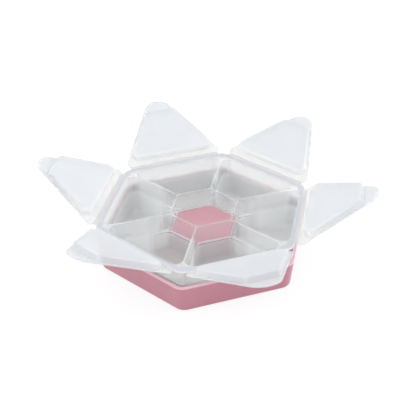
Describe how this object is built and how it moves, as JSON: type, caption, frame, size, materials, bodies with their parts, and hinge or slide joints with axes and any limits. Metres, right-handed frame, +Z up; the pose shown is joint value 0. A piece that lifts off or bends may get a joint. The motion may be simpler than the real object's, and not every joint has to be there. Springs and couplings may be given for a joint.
{
  "type": "snack container",
  "caption": "Hexagonal divided snack tray with a hinged plug flap over each compartment and an open centre well, which lifts out of a base sleeve.",
  "frame": {"origin": "centre of the sleeve's underside, on the surface that the container stands on", "axes": "+Z up; the hexagon's flat sides face +X and -X and its corners lie on the Y axis; the flap named right is on +X and the corner named front on -Y"},
  "size_m": [0.2892, 0.2586, 0.0747],
  "materials": {
    "sleeve": "satin pink plastic",
    "tray": "milky translucent plastic",
    "flaps": "milky translucent plastic, thin at the hinge"
  },
  "bodies": {
    "base": {"base_sleeve": "sleeve"},
    "tray": {"tray_bowl": "tray", "centre_well": "tray", "divider_front": "tray", "divider_front_right": "tray", "divider_back_right": "tray", "divider_back": "tray", "divider_back_left": "tray", "divider_front_left": "tray"},
    "right_flap": {"flap_right": "flaps", "hinge_right": "flaps"},
    "back_right_flap": {"flap_back_right": "flaps", "hinge_back_right": "flaps"},
    "back_left_flap": {"flap_back_left": "flaps", "hinge_back_left": "flaps"},
    "left_flap": {"flap_left": "flaps", "hinge_left": "flaps"},
    "front_left_flap": {"flap_front_left": "flaps", "hinge_front_left": "flaps"},
    "front_right_flap": {"flap_front_right": "flaps", "hinge_front_right": "flaps"}
  },
  "joints": [
    {"name": "tray_lift", "type": "slide", "parent": "base", "child": "tray", "axis": [0, 0, 1], "range_m": [0, 0.04]},
    {"name": "right_flap_hinge", "type": "hinge", "parent": "tray", "child": "right_flap", "pos_m": [0.0834, 0, 0.0411], "axis": [0, -1, 0], "range_deg": [-56.5, 153.5]},
    {"name": "back_right_flap_hinge", "type": "hinge", "parent": "tray", "child": "back_right_flap", "pos_m": [0.0417, 0.07223, 0.0411], "axis": [0.866, -0.5, 0], "range_deg": [-53.5, 156.5]},
    {"name": "back_left_flap_hinge", "type": "hinge", "parent": "tray", "child": "back_left_flap", "pos_m": [-0.0417, 0.07223, 0.0411], "axis": [0.866, 0.5, 0], "range_deg": [-59.5, 150.5]},
    {"name": "left_flap_hinge", "type": "hinge", "parent": "tray", "child": "left_flap", "pos_m": [-0.0834, 0, 0.0411], "axis": [0, 1, 0], "range_deg": [-58, 152]},
    {"name": "front_left_flap_hinge", "type": "hinge", "parent": "tray", "child": "front_left_flap", "pos_m": [-0.0417, -0.07223, 0.0411], "axis": [-0.866, 0.5, 0], "range_deg": [-55.5, 154.5]},
    {"name": "front_right_flap_hinge", "type": "hinge", "parent": "tray", "child": "front_right_flap", "pos_m": [0.0417, -0.07223, 0.0411], "axis": [-0.866, -0.5, 0], "range_deg": [-50.5, 159.5]}
  ]
}
